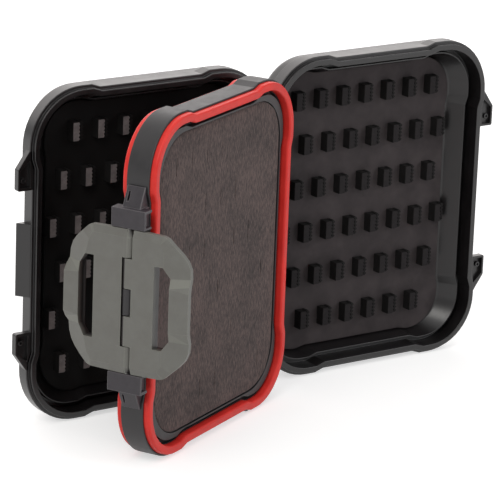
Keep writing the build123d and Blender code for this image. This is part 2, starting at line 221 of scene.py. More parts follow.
def makePiece(name, points, faces, place, body, sharp=32.0):
    # Mesh object in world metres with faces pointing outwards and crisp edges kept crisp
    mesh = bpy.data.meshes.new(name)
    mesh.from_pydata(toWorld(points, place), [], faces)
    work = bmesh.new()
    work.from_mesh(mesh)
    bmesh.ops.remove_doubles(work, verts=work.verts, dist=mergeWithin)
    bmesh.ops.recalc_face_normals(work, faces=work.faces)
    work.to_mesh(mesh)
    work.free()
    return placePiece(name, mesh, body, sharp)


def placePiece(name, mesh, body, sharp=32.0):
    # Smooth shading but for edges sharper than the angle, and the body that the piece moves with
    piece = bpy.data.objects.new(name, mesh)
    scene.collection.objects.link(piece)
    mesh.shade_smooth()
    mesh.set_sharp_from_angle(angle=math.radians(sharp))
    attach(piece, body)
    return piece


def roundEdges(piece, width, segments=2, angle=28.0):
    # Width in millimetres, angle in degrees
    bevel = piece.modifiers.new("rounded edges", "BEVEL")
    bevel.width = width / 1000.0
    bevel.segments = segments
    bevel.limit_method = "ANGLE"
    bevel.angle_limit = math.radians(angle)
    bevel.use_clamp_overlap = True
    weighted(piece)


def weighted(piece):
    # Leans the shading towards each corner's larger faces, so flats stay flat beside a rounded edge
    even = piece.modifiers.new("even shading", "WEIGHTED_NORMAL")
    even.keep_sharp = True
    even.weight = 60


def skinPiece(name, layers, place, body, steps=5, closed=False):
    # A swept skin as a piece, capped at both ends unless its last layer meets its first
    grid = sweptSkin(layers, steps, closed)
    piece = makePiece(name, *(wrapped(grid) if closed else capped(grid)), place, body)
    weighted(piece)
    return piece


def prism(outline, low, high):
    # Closed prism: an outline seen from above, carried upwards from low to high
    x, out = np.asarray(outline, float).T
    return capped(np.array([np.column_stack([x, np.full(len(x), level), out]) for level in (low, high)]))


def joined(parts):
    # Several closed parts as one list of points and faces
    points, faces, first = [], [], 0
    for partPoints, partFaces in parts:
        points.append(partPoints)
        faces += [[i + first for i in face] for face in partFaces]
        first += len(partPoints)
    return np.concatenate(points), faces


def softCopy(nodeName, pieceName, body, width):
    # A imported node's own shape, merged and with its edges rounded
    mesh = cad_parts[nodeName].data.copy()
    mesh.name = pieceName
    mesh.materials.clear()
    work = bmesh.new()
    work.from_mesh(mesh)
    bmesh.ops.remove_doubles(work, verts=work.verts, dist=mergeWithin)
    flat = math.radians(0.6)
    bmesh.ops.dissolve_limit(
        work, angle_limit=flat, use_dissolve_boundaries=False, verts=work.verts, edges=work.edges)
    work.to_mesh(mesh)
    work.free()
    piece = placePiece(pieceName, mesh, body)
    roundEdges(piece, width)
    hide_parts(nodeName)
    return piece


# Finishes
def linear(hexText):
    # sRGB hex to linear light
    values = np.array([int(hexText[k:k + 2], 16) for k in (0, 2, 4)]) / 255.0
    low = values / 12.92
    high = ((values + 0.055) / 1.055) ** 2.4
    return (*np.where(values <= 0.04045, low, high).tolist(), 1.0)


def newFinish(name):
    material = bpy.data.materials.new(name)
    material.use_nodes = True
    material.node_tree.nodes.clear()
    return material


def addNode(material, kind, settings=None, links=None):
    # Adds a node: settings name its sockets or properties, links name a socket, a node and its output
    node = material.node_tree.nodes.new(kind)
    for key, value in (settings or {}).items():
        if isinstance(key, int) or key in node.inputs:
            node.inputs[key].default_value = value
        else:
            setattr(node, key, value)
    for key, (other, output) in (links or {}).items():
        material.node_tree.links.new(other.outputs[output], node.inputs[key])
    return node


def mouldedFinish(look):
    # Moulded plastic or rubber: two-tone mottle, a fine surface grain and a little uneven gloss, and, where a
    # look asks for them, a painted highlight on edges and painted shade on deep points
    material = newFinish(look["name"])
    where = addNode(material, "ShaderNodeTexCoord")
    stretch = addNode(material, "ShaderNodeMapping", {"Scale": look.get("stretch", (1, 1, 1))},
                      {"Vector": (where, "Object")})
    mottle = addNode(material, "ShaderNodeTexNoise",
                     {"Scale": 1000.0 / look["mottleMm"], "Detail": 3.0, "Roughness": 0.6},
                     {"Vector": (stretch, 0)})
    blend = addNode(material, "ShaderNodeMapRange",
                    {"From Min": 0.35, "From Max": 0.65, "To Min": 0.0, "To Max": 1.0},
                    {"Value": (mottle, 0)})
    colour = addNode(material, "ShaderNodeMix",
                     {"data_type": "RGBA", 6: linear(look["dark"]), 7: linear(look["light"])},
                     {0: (blend, 0)})
    if "edgeHighlight" in look:
        # Painted highlight: edges are painted paler where a rounded normal leaves the flat one
        form = addNode(material, "ShaderNodeNewGeometry")
        rounded = addNode(material, "ShaderNodeBevel", {"samples": 6, "Radius": look["edgeHighlightMm"] / 1000.0})
        along = addNode(material, "ShaderNodeVectorMath", {"operation": "DOT_PRODUCT"},
                        {0: (form, "True Normal"), 1: (rounded, "Normal")})
        paintedHighlight = addNode(material, "ShaderNodeMapRange",
                         {"From Min": 0.998, "From Max": 0.98, "To Min": 0.0, "To Max": look["edgeHighlightShare"]},
                         {"Value": (along, "Value")})
        colour = addNode(material, "ShaderNodeMix", {"data_type": "RGBA", 7: linear(look["edgeHighlight"])},
                         {0: (paintedHighlight, 0), 6: (colour, 2)})
    if "deep" in look:
        # Painted shade: points marked deep, low in the slots, the gaps and the knuckles, are mixed towards a
        # dark colour
        low = addNode(material, "ShaderNodeAttribute", {"attribute_name": "deep"})
        colour = addNode(material, "ShaderNodeMix", {"data_type": "RGBA", 7: linear(look["deep"])},
                         {0: (low, "Fac"), 6: (colour, 2)})
    grain = addNode(material, "ShaderNodeTexNoise",
                    {"Scale": 1000.0 / look["grainMm"], "Detail": 4.0, "Roughness": 0.7},
                    {"Vector": (stretch, 0)})
    smooth, dull = look["rough"]
    gloss = addNode(material, "ShaderNodeMapRange",
                    {"From Min": 0.3, "From Max": 0.7, "To Min": smooth, "To Max": dull},
                    {"Value": (mottle, 0)})
    strength, millimetres = look["relief"]
    relief = addNode(material, "ShaderNodeBump", {"Strength": strength, "Distance": millimetres / 1000.0},
                     {"Height": (grain, 0)})
    skin = addNode(material, "ShaderNodeBsdfPrincipled",
                   {"IOR": look.get("ior", 1.5), "Specular IOR Level": look.get("specular", 0.5),
                    "Metallic": look.get("metallic", 0.0)},
                   {"Base Color": (colour, 2), "Roughness": (gloss, 0), "Normal": (relief, 0)})
    addNode(material, "ShaderNodeOutputMaterial", None, {"Surface": (skin, 0)})
    return material


# Relief is the strength of the surface grain and its depth in millimetres. The insert's sheets share one
# skin, and the faces of its posts another
sheetSkin = {"mottleMm": 16.0, "grainMm": 0.5, "relief": (0.5, 0.05)}
cutSkin = {"mottleMm": 2.0, "grainMm": 0.3, "rough": (0.75, 0.9), "relief": (0.6, 0.06), "ior": 1.45,
           "specular": 0.25}
finishes = {
    # Tool-polished walls: a satin black that keeps soft, broad highlights along every edge
    "shell": {"name": "injection-moulded ABS, satin black", "dark": "131112", "light": "191718",
              "mottleMm": 9.0, "grainMm": 0.35, "rough": (0.28, 0.36), "relief": (0.2, 0.02), "ior": 1.53,
              "specular": 0.55},
    # The same plastic from a spark-eroded tool: the fine grain scatters light, so it reads greyer
    "frame": {"name": "injection-moulded ABS, spark-eroded grain", "dark": "1f1d1f", "light": "262426",
              "mottleMm": 5.0, "grainMm": 0.28, "rough": (0.44, 0.54), "relief": (0.4, 0.03), "ior": 1.53},
    # Compression-moulded skin behind the posts: dull, with faint cloudy patches
    "rightSheet": {"name": "compression-moulded EVA, matt charcoal skin", "dark": "363132", "light": "4b4546",
                   **sheetSkin, "rough": (0.62, 0.8), "ior": 1.45, "specular": 0.25},
    # The left half's sheet is the same skin painted near black: painted shade of the page standing in front
    # of it
    "leftSheet": {"name": "compression-moulded EVA, skin in painted shade", "dark": "0d0c0c", "light": "141212",
                  **sheetSkin, "rough": (0.7, 0.85), "ior": 1.4, "specular": 0.3},
    # Knife-cut fronts show open cells, paler than the moulded skin. The left and right copies are one cut
    # foam in two painted lights: the left paler as painted light, the right darker as painted shade
    "leftFront": {"name": "knife-cut EVA, grey cells painted lit", "dark": "6e6868", "light": "827b7b", **cutSkin},
    "rightFront": {"name": "knife-cut EVA, grey cells painted in shade", "dark": "1d1a1b", "light": "2a2728", **cutSkin},
    # The posts' flanks were pressed against the mould, so their skin is closed and darker
    "postSide": {"name": "compression-moulded EVA, black flank", "dark": "111010", "light": "191717",
                 **cutSkin, "rough": (0.7, 0.85), "relief": (0.6, 0.05)},
    # Through-coloured rubber with the slight satin a polished mould leaves on a seal
    "gasket": {"name": "compression-moulded silicone, red satin", "dark": "e8302a", "light": "f63c34",
               "mottleMm": 12.0, "grainMm": 0.5, "rough": (0.42, 0.52), "relief": (0.12, 0.02), "ior": 1.42},
    # Glass fibres dull the surface: matt grey with a green cast. Its edges carry a painted highlight, and its
    # deep points a painted shade
    "wing": {"name": "injection-moulded glass-filled nylon, matt grey-green",
             "dark": "6f6e69", "light": "757570", "edgeHighlight": "8c8d84", "edgeHighlightShare": 0.55, "edgeHighlightMm": 0.35,
             "deep": "262222", "mottleMm": 7.0, "grainMm": 0.3, "rough": (0.4, 0.5), "relief": (0.4, 0.03)},
    # Denser and slicker than the wings. Its edges carry a painted highlight, narrower and stronger than the
    # wings'
    "mount": {"name": "injection-moulded acetal, dark grey",
              "dark": "312d32", "light": "3a363b", "edgeHighlight": "6d696c", "edgeHighlightShare": 0.7, "edgeHighlightMm": 0.25,
              "mottleMm": 4.0, "grainMm": 0.3, "rough": (0.42, 0.52), "relief": (0.3, 0.03), "ior": 1.48},
    # Fine die lines run along the wire and stretch its highlight across
    "pin": {"name": "drawn stainless wire, die lines", "dark": "8d8c8a", "light": "b5b3b0", "mottleMm": 0.5,
            "grainMm": 0.2, "rough": (0.25, 0.4), "relief": (0.2, 0.01), "metallic": 1.0,
            "stretch": (1, 1, 0.05)},
}
paint = {key: mouldedFinish(look) for key, look in finishes.items()}

# Just over two cell marks to the millimetre, each stretched to five times its width, under faint clouds
foamLook = {"name": "skived EVA foam, warm grey", "dark": "2c2221", "light": "6a5854", "markMm": 1 / 2.1,
            "stretch": (1.0, 1.0, 0.2), "cloudMm": 50 / 3, "cloudShare": 0.25, "reliefMm": 0.12}


def foamFinish(look):
    # Skived from a block: the blade leaves short upright cell marks under half a millimetre wide, no gloss
    material = newFinish(look["name"])
    where = addNode(material, "ShaderNodeTexCoord")
    tall = addNode(material, "ShaderNodeMapping", {"Scale": look["stretch"]}, {"Vector": (where, "Object")})
    marks = addNode(material, "ShaderNodeTexNoise",
                    {"Scale": 1000.0 / look["markMm"], "Detail": 3.0, "Roughness": 0.65},
                    {"Vector": (tall, 0)})
    clouds = addNode(material, "ShaderNodeTexNoise", {"Scale": 1000.0 / look["cloudMm"], "Detail": 2.0},
                     {"Vector": (where, "Object")})
    both = addNode(material, "ShaderNodeMath", {"operation": "MULTIPLY_ADD", 1: look["cloudShare"]},
                   {0: (clouds, 0), 2: (marks, 0)})
    blend = addNode(material, "ShaderNodeMapRange",
                    {"From Min": 0.5, "From Max": 0.76, "To Min": 0.0, "To Max": 1.0}, {"Value": (both, 0)})
    colour = addNode(material, "ShaderNodeMix",
                     {"data_type": "RGBA", 6: linear(look["dark"]), 7: linear(look["light"])},
                     {0: (blend, 0)})
    relief = addNode(material, "ShaderNodeBump", {"Strength": 0.7, "Distance": look["reliefMm"] / 1000.0},
                     {"Height": (marks, 0)})
    skin = addNode(material, "ShaderNodeBsdfPrincipled",
                   {"Roughness": 0.9, "IOR": 1.4, "Sheen Weight": 0.15, "Sheen Roughness": 0.6},
                   {"Base Color": (colour, 2), "Normal": (relief, 0)})
    addNode(material, "ShaderNodeOutputMaterial", None, {"Surface": (skin, 0)})
    return material


paint["foam"] = foamFinish(foamLook)
print("finishes ready")

# Camera and light: the focal length is in pixels of a picture so many pixels wide
view = {"place": (-0.8143, -1.0915, 0.4737), "heading": 35.48, "pitch": -16.35, "roll": 2.16,
        "focal": 3167.2, "pixels": 500.0, "sensor": 36.0}


def stand(thing, right, up, out, at):
    # Turns and places a camera or a lamp, which both look against out
    rows = np.column_stack([right, up, out, at]).tolist()
    thing.matrix_world = Matrix(rows + [[0.0, 0.0, 0.0, 1.0]])


def makeCamera():
    # Heading turns from +y towards +x, pitch lifts the view, and roll turns the picture
    heading, pitch, roll = (math.radians(view[k]) for k in ("heading", "pitch", "roll"))
    side = np.array([math.cos(heading), -math.sin(heading), 0.0])
    ahead = np.array([math.cos(pitch) * -side[1], math.cos(pitch) * side[0], math.sin(pitch)])
    above = np.cross(side, ahead)
    right = math.cos(roll) * side + math.sin(roll) * above
    up = -math.sin(roll) * side + math.cos(roll) * above
    camera = bpy.data.objects.new("camera", bpy.data.cameras.new("camera"))
    scene.collection.objects.link(camera)
    stand(camera, right, up, -ahead, view["place"])
    camera.data.sensor_width = view["sensor"]
    camera.data.lens = view["focal"] / view["pixels"] * view["sensor"]
    camera.data.clip_end = 20.0
    scene.camera = camera


makeCamera()
scene.view_settings.view_transform = "Standard"

# Radiance is the lamp's own brightness as the eye would see it
lights = {
    "behind": {"at": (0.25, 1.35, 0.95), "aim": (0.0, 0.0, 0.1), "size": (3.1, 1.2), "radiance": 1.75,
               "tint": (1.0, 0.95, 0.93)},
    "overhead": {"at": (-0.1, -0.1, 1.35), "aim": (0.0, 0.0, 0.0), "size": (1.2, 1.2), "radiance": 0.6,
                 "tint": (1.0, 1.0, 1.0)},
    "frontRight": {"at": (1.0, -1.15, 0.75), "aim": (0.0, 0.0, 0.08), "size": (0.8, 0.8), "radiance": 3.0,
                   "tint": (0.97, 0.97, 1.0)},
    "highLeft": {"at": (-1.05, -0.65, 1.25), "aim": (0.0, 0.0, 0.08), "size": (0.8, 0.8), "radiance": 4.8,
                 "tint": (1.0, 0.98, 0.94)},
}


def makeLight(name, spec):
    # Power = radiance x pi x area
    lamp = bpy.data.lights.new(name, "AREA")
    lamp.shape = "RECTANGLE"
    lamp.size, lamp.size_y = spec["size"]
    lamp.color = spec["tint"]
    lamp.energy = spec["radiance"] * math.pi * spec["size"][0] * spec["size"][1]
    holder = bpy.data.objects.new(name, lamp)
    scene.collection.objects.link(holder)
    holder.visible_camera = False
    at, aim = np.array(spec["at"]), np.array(spec["aim"])
    out = (at - aim) / np.linalg.norm(at - aim)
    side = np.cross((0.0, 1.0, 0.0) if abs(out[2]) > 0.9 else (0.0, 0.0, 1.0), out)
    side /= np.linalg.norm(side)
    stand(holder, side, np.cross(out, side), out, at)


for lightName, spec in lights.items():
    makeLight(lightName, spec)

surround = {"plain": 0.25, "seen": 1.0, "gloss": 0.5}


def makeWorld():
    # The surround is white to the eye, half as strong in reflections, and lights the object at a plain level
    world = bpy.data.worlds.new("studio")
    scene.world = world
    world.use_nodes = True
    world.node_tree.nodes.clear()
    rays = addNode(world, "ShaderNodeLightPath")
    gloss = addNode(world, "ShaderNodeMath", {"operation": "MULTIPLY", 1: surround["gloss"]},
                    {0: (rays, "Is Glossy Ray")})
    glossOrCamera = addNode(world, "ShaderNodeMath", {"operation": "MAXIMUM"},
                            {0: (rays, "Is Camera Ray"), 1: (gloss, 0)})
    seen = addNode(world, "ShaderNodeMath", {"operation": "MAXIMUM"},
                   {0: (glossOrCamera, 0), 1: (rays, "Is Transmission Ray")})
    plain = addNode(world, "ShaderNodeBackground", {"Color": (1, 1, 1, 1), "Strength": surround["plain"]})
    white = addNode(world, "ShaderNodeBackground", {"Color": (1, 1, 1, 1), "Strength": surround["seen"]})
    pick = addNode(world, "ShaderNodeMixShader", None, {0: (seen, 0), 1: (plain, 0), 2: (white, 0)})
    addNode(world, "ShaderNodeOutputWorld", None, {"Surface": (pick, 0)})


makeWorld()

# Tone is the floor's grey. Its glow grows from one strength to the other over a reach from the middle
floorLook = {"half": 6.0, "tone": 0.72, "glow": (0.58, 1.0), "glowReach": (0.5, 2.0)}


def makeFloor():
    # Matte pale floor that stays white to the eye except where the object shades it
    d = floorLook
    mesh = bpy.data.meshes.new("floor")
    size = d["half"]
    corners = [(-size, -size, 0), (size, -size, 0), (size, size, 0), (-size, size, 0)]
    mesh.from_pydata(corners, [], [(0, 1, 2, 3)])
    floor = bpy.data.objects.new("floor", mesh)
    scene.collection.objects.link(floor)
    material = newFinish("matte white floor")
    rays = addNode(material, "ShaderNodeLightPath")
    matte = addNode(material, "ShaderNodeBsdfDiffuse", {"Color": (d["tone"], d["tone"], d["tone"], 1.0)})
    # Beyond the lamps' reach the glow makes up what they no longer give
    where = addNode(material, "ShaderNodeTexCoord")
    away = addNode(material, "ShaderNodeVectorMath", {"operation": "LENGTH"}, {0: (where, "Object")})
    glow = addNode(material, "ShaderNodeMapRange",
                   {"From Min": d["glowReach"][0], "From Max": d["glowReach"][1],
                    "To Min": d["glow"][0], "To Max": d["glow"][1]}, {"Value": (away, "Value")})
    shine = addNode(material, "ShaderNodeEmission", None, {"Strength": (glow, 0)})
    seen = addNode(material, "ShaderNodeMath", {"operation": "MAXIMUM"},
                   {0: (rays, "Is Camera Ray"), 1: (rays, "Is Glossy Ray")})
    bright = addNode(material, "ShaderNodeAddShader", None, {0: (matte, 0), 1: (shine, 0)})
    pick = addNode(material, "ShaderNodeMixShader", None, {0: (seen, 0), 1: (matte, 0), 2: (bright, 0)})
    addNode(material, "ShaderNodeOutputMaterial", None, {"Surface": (pick, 0)})
    mesh.materials.append(material)


makeFloor()
print("camera, light and floor ready")

# Shells
shellLook = {
    "band": 6.4, "depth": 14.4, "bodyRadius": 25.0, "backRadius": 22.0, "backRound": 3.0,
    "backFree": 5.0, "backSpine": 0.6, "backEnd": 0.3, "backFlat": 9,
    "lipInset": 1.4, "lipInner": 4.0, "lipProud": 2.1, "grooveBottom": 7.0, "ledge": 0.7,
    "channelInset": 6.9, "channelDepth": 4.0,
    "floorDepth": 12.2, "floorFree": 13.0, "floorSpine": 8.0, "floorEnd": 8.6, "floorRadius": 16.0,
    "floorBump": 1.0, "floorSoft": 9, "floorFlat": 6, "floorRound": 1.6,
}
shellBodies = {"left": "left_half", "right": "right_half"}
freeSide = {"left": -1, "right": 1}


def floorRing(side, inset, bump=shellLook["floorBump"]):
    # The floor's outline: wider margins at the free side, so its middle sits nearer the spine
    d = shellLook
    ring = steppedRing(
        leaf["halfWide"] - (d["floorFree"] + d["floorSpine"]) / 2 - inset,
        leaf["halfTall"] - d["floorEnd"] - inset,
        d["floorRadius"] + bump - inset, bump, *bumpStarts(d["floorEnd"] + inset), d["floorSoft"])
    return ring - (freeSide[side] * (d["floorFree"] - d["floorSpine"]) / 2, 0)


def backRing(side, inset):
    # The back leans in at the free side, so its middle sits nearer the spine
    d = shellLook
    ring = plainRing(leaf["halfWide"] - (d["backFree"] + d["backSpine"]) / 2 - inset,
                     leaf["halfTall"] - d["backEnd"] - inset, d["backRadius"] - inset)
    return ring - (freeSide[side] * (d["backFree"] - d["backSpine"]) / 2, 0)


def makeShell(side):
    # From the back round the rim, over the sealing lip, down its groove and the channel to the floor
    d = shellLook
    ledge = outlineRing(d["channelInset"] - d["ledge"])
    layers = [
        (backRing(side, d["backFlat"]), -d["depth"], 0),
        (backRing(side, 0), -d["depth"], d["backRound"]),
        (plainRing(leaf["halfWide"], leaf["halfTall"], d["bodyRadius"]), -d["band"], 0.3),
        (outlineRing(0), -d["band"], 0.35),
        (outlineRing(0), 0, 0.45),
        (outlineRing(d["lipInset"]), 0, 0.25),
        (outlineRing(d["lipInset"]), d["lipProud"], 0.4),
        (outlineRing(d["lipInner"]), d["lipProud"], 0.4),
        (outlineRing(d["lipInner"]), -d["grooveBottom"], 0.3),
        (ledge, -d["grooveBottom"], 0.3),
        (ledge, -d["channelDepth"], 0.2),
        (outlineRing(d["channelInset"]), -d["channelDepth"], 0.2),
        (floorRing(side, 0), -d["floorDepth"], d["floorRound"]),
        (floorRing(side, d["floorFlat"], 0), -d["floorDepth"], 0),
    ]
    piece = skinPiece(side + "_shell_wall", layers, places[side], shellBodies[side], steps=6)
    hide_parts(side + "_shell")
    return piece


# Ears guard the wings' ends: a hollow block with a dipped boss. Overlap is how far a part runs into the wall
earLook = {"reach": 7.2, "flat": 32.4, "corner": 42.0, "root": 50.0, "depth": 3.0, "wall": 1.1, "pocket": 1.9,
           "overlap": 1, "pocketCut": (3, 6), "boss": 1.3, "bossOut": 0.4, "bossUp": 4.5, "bossTop": 0.7,
           "bossSunk": 0.2, "dip": 0.6, "dipBottom": 1.3}
catchLook = {"reach": 4.2, "half": 16.6, "start": 0.5, "rise": 0.2, "lip": 0.6, "round": 0.35}
hingeLook = {"pin": 1.2, "fit": 0.05, "pageFit": 0.02, "radius": 2.7, "length": 4.4, "gap": 0.35,
             "centre": 29.0, "strapNear": 1.5, "strapInto": 0.8, "strapFoot": 0.4, "pageStrap": 1.6,
             "strapRound": 0.25}


def knuckleLevels(order):
    # Five knuckles and four gaps to a group, about its centre: where one of them starts in the upper group
    # and in the lower one
    h = hingeLook
    start = h["centre"] - 2.5 * h["length"] - 2 * h["gap"] + order * (h["length"] + h["gap"])
    return (start, -start - h["length"])


def earParts(side):
    # Rounded paths round the block, its pocket and the boss, each swept down to its own depth
    e, w, edge = earLook, earLook["wall"], leaf["halfWide"]
    root, tip = edge - e["overlap"], edge + e["reach"]
    outer = np.array([(root, e["flat"]), (tip, e["flat"]), (tip, e["corner"]),
                      (edge + leaf["bump"], e["root"]), (root, e["root"])])
    near, far = e["pocketCut"]
    inner = np.array([(edge + w, e["flat"] + w), (tip - w, e["flat"] + w), (tip - w, e["corner"] - w / 2),
                      (edge + w, e["root"] - w - near), (edge + w, e["root"] - w - far)])
    parts = []
    for up in (1, -1):
        flip = (freeSide[side], up)
        big = roundedPath(outer * flip, (0.3, 0.9, 0.9, 0.5, 0.3), 5)
        small = roundedPath(inner * flip, (0.4, 0.5, 0.6, 0.4, 0.4), 5)
        parts.append(capped(sweptSkin(
            [(big, -e["depth"], 0), (big, 0, 0.3), (small, 0, 0.25), (small, -e["pocket"], 0)], 4)))
        centre = np.array((edge + e["reach"] / 2 + e["bossOut"], e["flat"] + e["bossUp"])) * flip
        disc, dip = centre + e["boss"] * circle(24), centre + e["dip"] * circle(24)
        parts.append(capped(sweptSkin(
            [(disc, -e["pocket"] - e["bossSunk"], 0), (disc, -e["bossTop"], 0.2),
             (dip, -e["bossTop"], 0.15), (dip, -e["dipBottom"], 0)], 3)))
    return parts


def makeShellFittings(side, order):
    # Ears, catch and hinge: each knuckle is a tube with a strap behind it that is bent down the wall
    c, h = catchLook, hingeLook
    free, edge, band = freeSide[side], leaf["halfWide"], shellLook["band"]
    root, tip = edge - earLook["overlap"], edge + c["reach"]
    # The catch is a wedge that the wing's shelf rides over
    wedge = np.array([(root, -c["start"]), (edge + c["rise"], -c["start"]), (tip, -band + c["lip"]),
                      (tip, -band), (root, -band)]) * (free, 1)
    hollow, solid = earParts(side), [prism(wedge, -c["half"], c["half"])]
    axis, depth = -free * (edge + leaf["hingeBack"]), leaf["frontFromHinge"]
    near, middle, far = (axis + free * step for step in (
        h["strapNear"], h["radius"], leaf["hingeBack"] + h["strapInto"]))
    foot = -band + h["strapFoot"]
    strap = [(near, depth), (middle, depth), (middle, -c["start"]), (far, -c["start"]), (far, foot),
             (near, foot)]
    for low in knuckleLevels(order):
        hollow.append(tube((axis, depth), h["radius"], h["pin"] + h["fit"], low, low + h["length"]))
        solid.append(prism(strap, low, low + h["length"]))
    ears = makePiece(side + "_shell_ears", *joined(hollow), places[side], shellBodies[side])
    weighted(ears)
    blocks = makePiece(side + "_shell_catch", *joined(solid), places[side], shellBodies[side])
    roundEdges(blocks, c["round"])
    return [ears, blocks]


for side, order in (("left", 1), ("right", 3)):
    for piece in [makeShell(side)] + makeShellFittings(side, order):
        piece.data.materials.append(paint["shell"])
print("shells ready")

# Inserts: each row of posts has its start and its count, top row first
insertLook = {
    "thickness": 1.3, "gap": 0.1, "clear": 0.3, "flat": 5, "postTop": 6.0, "postTall": 8.6, "postWide": 3.3,
    "postThin": 1.4, "postSunk": 0.3, "postEase": (0.16, 0.18), "slit": 0.8, "wave": 0.46, "waves": 5,
    "thinLow": 0.9, "rowPitch": 21.2, "rowOffset": 1.1, "postPitch": 12.9,
    "left": ((-36.5, 6), (-42.4, 7), (-47.5, 8), (-42.0, 7), (-47.2, 8), (-41.4, 7)),
    "right": ((-43.8, 7), (-51.4, 8), (-43.0, 7), (-49.7, 8), (-42.8, 7), (-36.5, 6)),
}


def wavyEdge(atX, downward, swell=1.0):
    # Eased zigzag: x swings with the cosine of the way along the post, in six steps to a wave
    d = insertLook
    count = d["waves"] * 6
    along = np.linspace(0, 1, count + 1)
    swing = -d["wave"] * swell * np.cos(along * d["waves"] * 2 * np.pi)
    y = d["postTall"] * (0.5 - along)
    edge = np.column_stack([atX + swing, y])
    return edge if downward else edge[::-1]


def postParts():
    # One post: a wide part whose right edge has half the wave, and a thin strip waved on both sides. Each is
    # its outline carried forward, and then drawn in a little to an eased front
    d = insertLook
    front = -d["postTop"]
    root = -(shellLook["floorDepth"] - d["gap"] - d["thickness"]) - d["postSunk"]
    tall = d["postTall"] / 2
    wide = np.concatenate([[(0, -tall), (0, tall)], wavyEdge(d["postWide"], True, 0.5)])
    thinLeft = d["postWide"] + d["slit"]
    thin = np.concatenate([wavyEdge(thinLeft + d["postThin"], True), wavyEdge(thinLeft, False)])
    ease, fall = d["postEase"]
    parts = []
    for outline, drop in ((wide, 0), (thin, d["thinLow"])):
        middle = outline.mean(axis=0)
        off = outline - middle
        small = middle + off * (1 - ease / np.maximum(np.abs(off).max(axis=0), 0.5))
        parts.append(capped(np.array([
            lift(outline, root), lift(outline, front - drop - fall), lift(small, front - drop)])))
    return joined(parts)


def makeInsert(side):
    # A sheet on the floor with rows of posts: post k of a row stands k pitches from the row's start
    d, place, body = insertLook, places[side], shellBodies[side]
    back = d["gap"] - shellLook["floorDepth"]
    face = back + d["thickness"]
    edge, flat = floorRing(side, d["clear"]), floorRing(side, d["clear"] + d["flat"], 0)
    layers = [(flat, back, 0), (edge, back, 0.2), (edge, face, 0.5), (flat, face, 0)]
    sheet = skinPiece(side + "_insert_sheet", layers, place, body)
    # The left half's sheet is a copy painted near black, as painted shade from the page
    sheet.data.materials.append(paint[side + "Sheet"])
    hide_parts(side + "_insert")
    points, faces = postParts()
    middle = (len(d[side]) - 1) / 2
    starts = np.array([(start + d["postPitch"] * k, d["rowOffset"] + d["rowPitch"] * (middle - row), 0)
                       for row, (start, count) in enumerate(d[side]) for k in range(count)])
    every = joined([(points + start, faces) for start in starts])
    posts = makePiece(side + "_insert_posts", *every, place, body, sharp=40)
    posts.data.materials.append(paint["postSide"])
    # Each half's fronts take their own copy of the cut foam: paler on the left as painted light, darker on
    # the right as painted shade
    posts.data.materials.append(paint[side + "Front"])
    normals, centres = np.empty((2, len(posts.data.polygons), 3))
    posts.data.polygons.foreach_get("normal", normals.ravel())
    posts.data.polygons.foreach_get("center", centres.ravel())
    facing = normals @ place["axes"][2]
    out = (centres * 1000 - place["origin"]) @ place["axes"][2]
    # Only the wide part's front takes the cut-cell finish. The recessed strip's front keeps the dark flank
    # finish, which paints it in shade
    cut = (facing > 0.9) & (out > -d["postTop"] - d["thinLow"] / 2)
    posts.data.polygons.foreach_set("material_index", cut.astype(np.int32))


for side in ("left", "right"):
    makeInsert(side)
print("inserts ready")

# Page
pageLook = {
    "half": 5.5, "grooveInset": 0.9, "grooveInner": 6.9, "grooveDepth": 1.5, "moatOuter": 5.1,
    "moatDepth": 3.4, "gasketWide": 3.9, "gasketClear": 0.1, "gasketProud": 2.6, "gasketSoft": 6,
    "foamSide": 7.9, "foamEnd": 7.7, "foamRadius": 20.2, "foamPocket": 4.4, "foamClear": 0.2,
    "foamBehind": 0.1, "foamThick": 4.1, "pocketFlat": 8,
}
# The lug between the wings' middle knuckles. The pad in front of it is its outline seen along the pin
lugLook = {"half": 5.9, "pinOut": 6.9, "radius": 2.7, "neck": 2.2, "into": 0.5, "reach": 5.3, "round": 0.3,
           "pad": ((-2.0, 6.6), (-2.0, 8.9), (0.7, 8.9), (0.7, 6.6))}


def pageSkin():
    # From one tray's floor over the rim to the other's, the second face a mirror of the first
    d = pageLook
    half = d["half"]
    low, moat, tray = half - d["grooveDepth"], half - d["moatDepth"], half - d["foamPocket"]
    sizes = leaf["halfWide"] - d["foamSide"], leaf["halfTall"] - d["foamEnd"], d["foamRadius"]
    pocket, inside = plainRing(*sizes), plainRing(*(size - d["pocketFlat"] for size in sizes))
    oneFace = [
        (inside, tray, 0), (pocket, tray, 0.2), (pocket, half, 0.25),
        (outlineRing(d["grooveInner"]), half, 0.25), (outlineRing(d["grooveInner"]), moat, 0.15),
        (outlineRing(d["moatOuter"]), moat, 0.15), (outlineRing(d["moatOuter"]), low, 0.1),
        (outlineRing(d["grooveInset"]), low, 0.15), (outlineRing(d["grooveInset"]), half, 0.25),
        (outlineRing(0), half, 0.45),
    ]
    other = [(ring, -height, cut) for ring, height, cut in oneFace[::-1]]
    page = skinPiece("page_wall", oneFace + other, places["page"], "page")
    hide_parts("page_frame")
    return page


